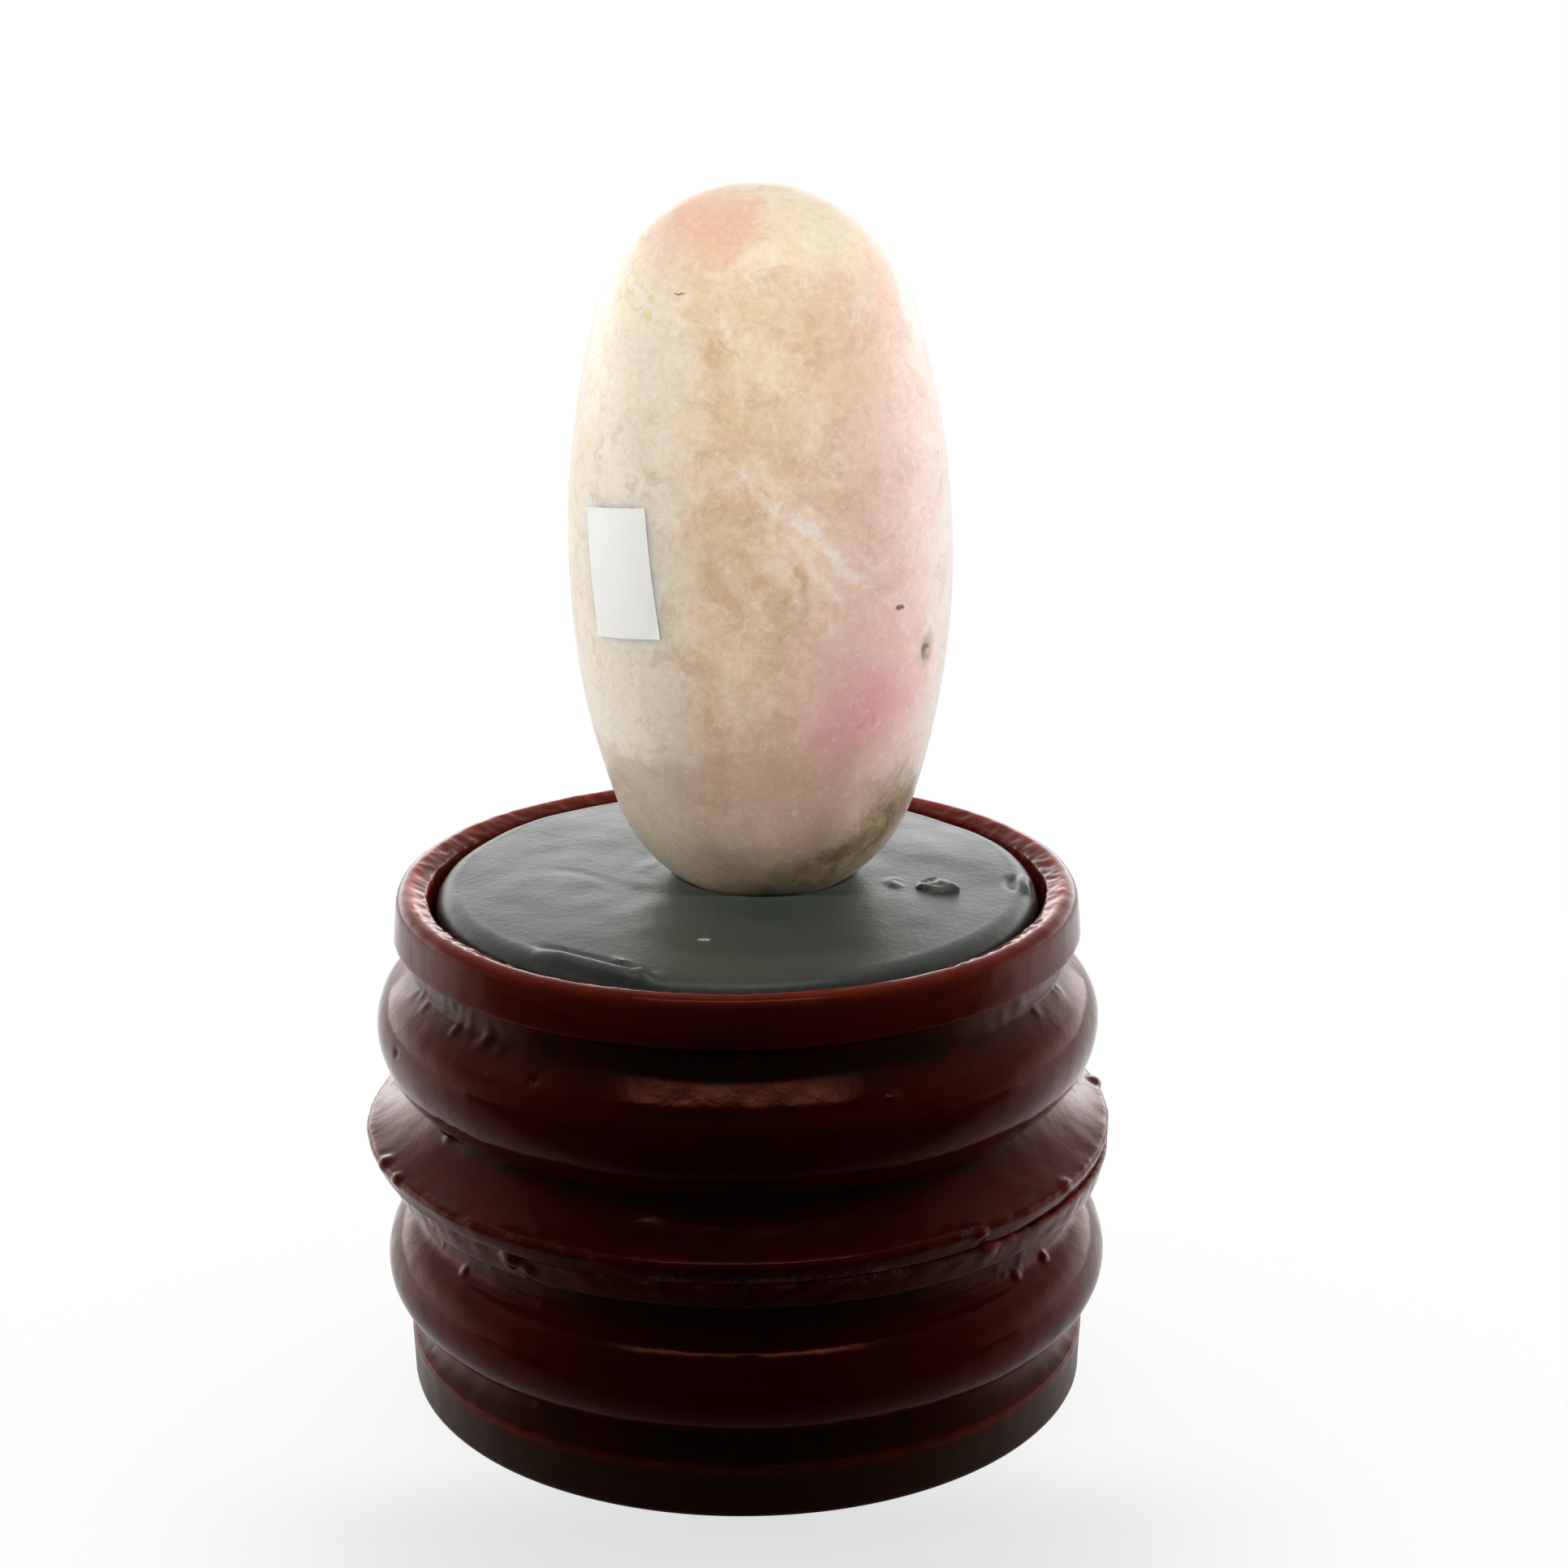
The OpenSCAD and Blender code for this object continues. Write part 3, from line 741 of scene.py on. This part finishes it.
ground = lacquer.mix(lacquer.cloud(at, 1.2), (0.80, 0.60, 0.44), (0.45, 0.14, 0.08))
coat = lacquer.mix(chip, coat, ground)
gloss = lacquer.cloud(at, 3.5, 4.0) * 0.10 + 0.08 + dust_and_shade * 0.16 + chip * 0.4
lacquer.wear(coat, gloss, lacquer.cloud(at, 1.6, 3.0) + chip * 0.8, 0.035)


def bright_edges(bm, axis_x, edges):
    """Paints a brighter red along edges, for drawn-back lacquer and a painted highlight: radius,
    height, width and share.
    """
    layer = bm.verts.layers.float.new("thin_and_highlit")
    for v in bm.verts:
        away = hypot(v.co.x - axis_x, v.co.y)
        ragged = 0.7 + 0.8 * noise.noise(v.co / 2.4) + 0.4 * noise.noise(v.co / 0.9)
        near = max(share * (1 - hypot(away - r, v.co.z - z) / width) for r, z, width, share in edges)
        v[layer] = max(0.0, min(1.0, near * 1.4 * ragged))


print("lacquer: %d nodes" % len(lacquer.tree.nodes))

# %% [markdown]
# ## The upper turning
#
# The upper turning is a cup on a flange: a base, an arris, a hollow shoulder, a fat bead, a cove,
# and a rim band that overhangs it. The outline follows the solid's own sizes, but the lacquer has
# filled the top of the bead to a straight slope and rounded the arris. Then its other marks go on:
# a slow wave, a ragged arris, nibs and runs under the rim.

# %% Upper turning
random.seed(41)
BASE_Z = 34.5
UPPER_BEAD, UPPER_BEAD_R, BELLY_R, UPPER_SEAM = (41.85, BASE_Z + 17.2), 6.6, 10.1, -64.5
BEAD_TOP, NECK_R = 47.0, 43.2


def on_circle(centre, radius, angle):
    """The point of a circle at an angle in degrees from the outward direction."""
    return (centre[0] + radius * cos(radians(angle)), centre[1] + radius * sin(radians(angle)))


slope_start = on_circle(UPPER_BEAD, UPPER_BEAD_R, BEAD_TOP)
slope_end = slope_start[1] + (slope_start[0] - NECK_R) / tan(radians(BEAD_TOP))
belly = (UPPER_BEAD[0] + UPPER_BEAD_R - BELLY_R, UPPER_BEAD[1])
seam = on_circle(belly, BELLY_R, UPPER_SEAM)
arris = (50.45, BASE_Z + 2.4)
band_low, rim_top = (45.8, 63.4), (45.2, RIM_Z)
mouth, cup_edge = (41.2, RIM_Z - 0.9), (40.0, CUP_FLOOR_Z)

outline = Outline(0, BASE_Z).line(49.6, BASE_Z).corner(arris, seam, 1.0)
outline.arc_to(*seam, -18.6, 20).arc(belly, -UPPER_SEAM, 24).arc(UPPER_BEAD, BEAD_TOP, 16)
outline.corner((NECK_R, slope_end), (NECK_R, RIM_Z), 1.4, 8)
outline.corner((NECK_R, band_low[1]), band_low, 0.5, 4).corner(band_low, rim_top, 0.4, 4)
outline.corner(rim_top, (43.6, RIM_Z), 1.6, 8).line(43.4, RIM_Z).corner(mouth, cup_edge, 0.8, 6)
outline.line(*cup_edge).line(0, CUP_FLOOR_Z)
upper_bm = outline.even(0.62, outside=39.5).lathe(600)
# Brighter red on the rim's edges, the band's lower edge, the arris and the base edge: drawn-back
# lacquer and a painted highlight.
bright_edges(upper_bm, 0, ((43.3, 69.7, 0.9, 1.0), (45.0, 69.6, 0.9, 0.3), (45.8, 63.5, 0.6, 0.5),
                         (50.2, 36.9, 1.2, 0.25), (49.7, 34.6, 0.6, 0.7)))
chips = upper_bm.verts.layers.float.new("chip")

outer = lambda co: 1.0 if hypot(co.x, co.y) > 41.0 and co.z > BASE_Z + 0.3 else 0.0
ripple(upper_bm, 14.0, 0.16, seed=2.0, share=outer)
ripple(upper_bm, 3.2, 0.045, seed=7.0, share=outer)
near_arris = lambda co: outer(co) * max(0.0, 1 - abs(co.z - arris[1]) / 1.4)
ripple(upper_bm, 3.4, 0.14, seed=4.0, share=near_arris)
ripple(upper_bm, 1.0, 0.07, seed=9.0, share=near_arris)
near_mouth = lambda co: 1.0 if hypot(co.x, co.y) < 43.4 and co.z > 66.5 else 0.0
ripple(upper_bm, 1.3, 0.16, seed=6.0, share=near_mouth)

marks = []
for low, high, count in ((-78, -42, 30), (46, 76, 12), (-30, 30, 4), (95, 265, 34)):
    for _ in range(count):
        z = random.uniform(57.6, 63.0)
        marks.append((round_about(0, 43.8, random.uniform(low, high), z), random.uniform(1.0, 1.9),
                      random.uniform(0.04, 0.22)))
for bearing, z, radius, size, tall in (
        (-60, 42.8, 43.6, 1.7, 0.7), (-68, 37.4, 50.0, 1.8, 0.5), (-62, 37.0, 50.3, 1.6, 0.4),
        (57, 37.2, 50.3, 1.9, 0.35), (37, 36.2, 50.2, 1.5, 0.4), (98, 37.2, 50.2, 2.2, 0.6),
        (24, 55.9, 46.8, 1.1, 0.25), (-33, 57.0, 46.2, 1.0, -0.4), (-66, 53.0, 48.3, 1.0, -0.35)):
    marks.append((round_about(0, radius, bearing, z), size, tall))
press(upper_bm, marks)
for v in upper_bm.verts:
    away = hypot(v.co.x, v.co.y)
    if away > 49.6 and abs(v.co.z - arris[1]) < 0.8:
        worn = max(0.0, noise.noise(v.co / 3.0 + Vector((11, 0, 0))) - 0.28) * 3
        v[chips] = min(1.0, worn) * 0.5
    front = max(0.0, 1 - abs(degrees(atan2(v.co.y, v.co.x)) + 83) / 22)
    if front > 0 and away > 49.2 and v.co.z < 35.6:
        rough = noise.noise(v.co / 2.2 + Vector((5, 0, 0))) + noise.noise(v.co / 0.8) * 0.6
        v[chips] = max(0.0, min(1.0, rough * 1.8 + 1.1 * front - 0.1))
set_piece("upper_turning", upper_bm, lacquer, "stand", "upper_stand")

# %% [markdown]
# ## The lower turning
#
# The lower turning repeats the upper one without a cup: a foot with a soft arris, a hollow
# shoulder, a bead, a cove and a plate. It was glued about a millimetre off the upper one's axis.
# The plate's top edge is the most damaged place of the stand, so it gets coarse chips.

# %% Lower turning
LOWER_X, PLATE_Z = 1.0, 34.2
LOWER_BEAD, LOWER_BEAD_R, LOWER_SEAM = (42.05, 18.0), 7.0, -79.2
LOWER_COVE, LOWER_TANGENT = (46.8, 26.342), 60.34
seam = on_circle(LOWER_BEAD, LOWER_BEAD_R, LOWER_SEAM)
foot, foot_top, plate_low, plate_top = (46.0, 0), (46.3, 7.4), (48.2, 30.4), (49.3, PLATE_Z)

outline = Outline(0, 0).corner(foot, foot_top, 1.2).corner(foot_top, (45.0, 7.9), 0.6)
outline.arc_to(*seam, -5, 10).arc(LOWER_BEAD, LOWER_TANGENT - LOWER_SEAM, 34)
outline.arc(LOWER_COVE, -LOWER_TANGENT, 9).corner((44.2, 30.4), plate_low, 0.5, 4)
outline.corner(plate_low, plate_top, 0.4, 4).corner(plate_top, (44, PLATE_Z), 0.3, 3)
outline.line(46.5, PLATE_Z).line(0, PLATE_Z)
lower_bm = outline.even(0.62, outside=43.0).lathe(600, LOWER_X)
# Brighter red on the plate's edges and the foot's arris: drawn-back lacquer and a painted highlight.
bright_edges(lower_bm, LOWER_X, ((49.2, 34.0, 0.9, 0.9), (48.7, 32.0, 2.2, 0.25), (46.2, 7.3, 0.8, 0.8)))
chips = lower_bm.verts.layers.float.new("chip")

outer = lambda co: min(1.0, max(0.0, co.z / 2)) if hypot(co.x - LOWER_X, co.y) > 43.0 else 0.0
ripple(lower_bm, 14.0, 0.16, seed=12.0, share=outer)
ripple(lower_bm, 3.2, 0.045, seed=17.0, share=outer)
edge = lambda co: max(0.0, 1 - abs(co.z - 32.6) / 2.6) if hypot(co.x - LOWER_X, co.y) > 46.8 else 0.0
ripple(lower_bm, 3.4, 0.18, seed=14.0, share=edge)
ripple(lower_bm, 1.2, 0.10, seed=19.0, share=edge)
marks = []
for low, high, count in ((-75, -35, 16), (35, 75, 16), (100, 260, 30)):
    for _ in range(count):
        spot = round_about(LOWER_X, 44.8, random.uniform(low, high), random.uniform(24.5, 30.0))
        marks.append((spot, random.uniform(0.9, 1.4), random.uniform(0.1, 0.35)))
for bearing, z, radius, size, tall in (
        (-37, 33.4, 49.0, 2.2, 0.8), (-34, 32.0, 48.8, 1.6, 0.6), (38, 33.2, 49.0, 2.2, 0.4),
        (0.3, 33.6, 49.2, 1.1, -0.9), (0.4, 32.2, 48.7, 1.0, -0.7),
        (-71, 9.0, 45.4, 1.2, -0.4), (-38, 10.8, 44.4, 1.4, 0.5)):
    marks.append((round_about(LOWER_X, radius, bearing, z), size, tall))
press(lower_bm, marks)
for v in lower_bm.verts:
    bearing = degrees(atan2(v.co.y, v.co.x - LOWER_X)) + 90
    front = max(0.0, 1 - abs(bearing - 5) / 30)
    rough = noise.noise(v.co / 2.0 + Vector((5, 0, 0))) + noise.noise(v.co / 0.8) * 0.5
    at_edge = max(0.0, 1 - abs(v.co.z - 33.9) / 0.9) if hypot(v.co.x - LOWER_X, v.co.y) > 48.2 else 0.0
    v[chips] = max(0.0, min(1.0, at_edge * (rough * 1.6 + 0.55 * front + 0.05)))
set_piece("lower_turning", lower_bm, lacquer, "stand", "lower_stand")

# %% [markdown]
# ## The glue between the turnings
#
# Glue fills the joint and has squeezed out in places, where it dried to a yellowish line with
# lumps. A thin turned disc is enough for its body, and its edge is pushed out here and there.

# %% Glue
GLUE_X, GLUE_R = 0.5, 48.0
outline = Outline(0, PLATE_Z).line(GLUE_R, PLATE_Z).arc_to(GLUE_R, BASE_Z, 0.16, 4).line(0, BASE_Z)
bm = outline.even(0.8, outside=46.0).lathe(360, GLUE_X)
for v in bm.verts:
    away = hypot(v.co.x - GLUE_X, v.co.y)
    if away > GLUE_R - 0.1:
        squeeze = max(0.0, noise.noise(v.co / 4.0 + Vector((2, 0, 0))) + 0.3 * noise.noise(v.co / 1.1))
        push = 1 + squeeze * 1.7 / away
        v.co.x, v.co.y = GLUE_X + (v.co.x - GLUE_X) * push, v.co.y * push
glue = Finish("dried_glue", IOR=1.45)
at = glue.place((0, 0, BASE_Z))
tone = glue.mix(glue.cloud(at, 2.5, 4.0), (0.42, 0.30, 0.16), (0.22, 0.10, 0.05))
glue.wear(tone, glue.cloud(at, 1.5) * 0.2 + 0.35, glue.cloud(at, 0.8, 3.0), 0.1)
set_piece("glue_line", bm, glue, "stand", "glue_film")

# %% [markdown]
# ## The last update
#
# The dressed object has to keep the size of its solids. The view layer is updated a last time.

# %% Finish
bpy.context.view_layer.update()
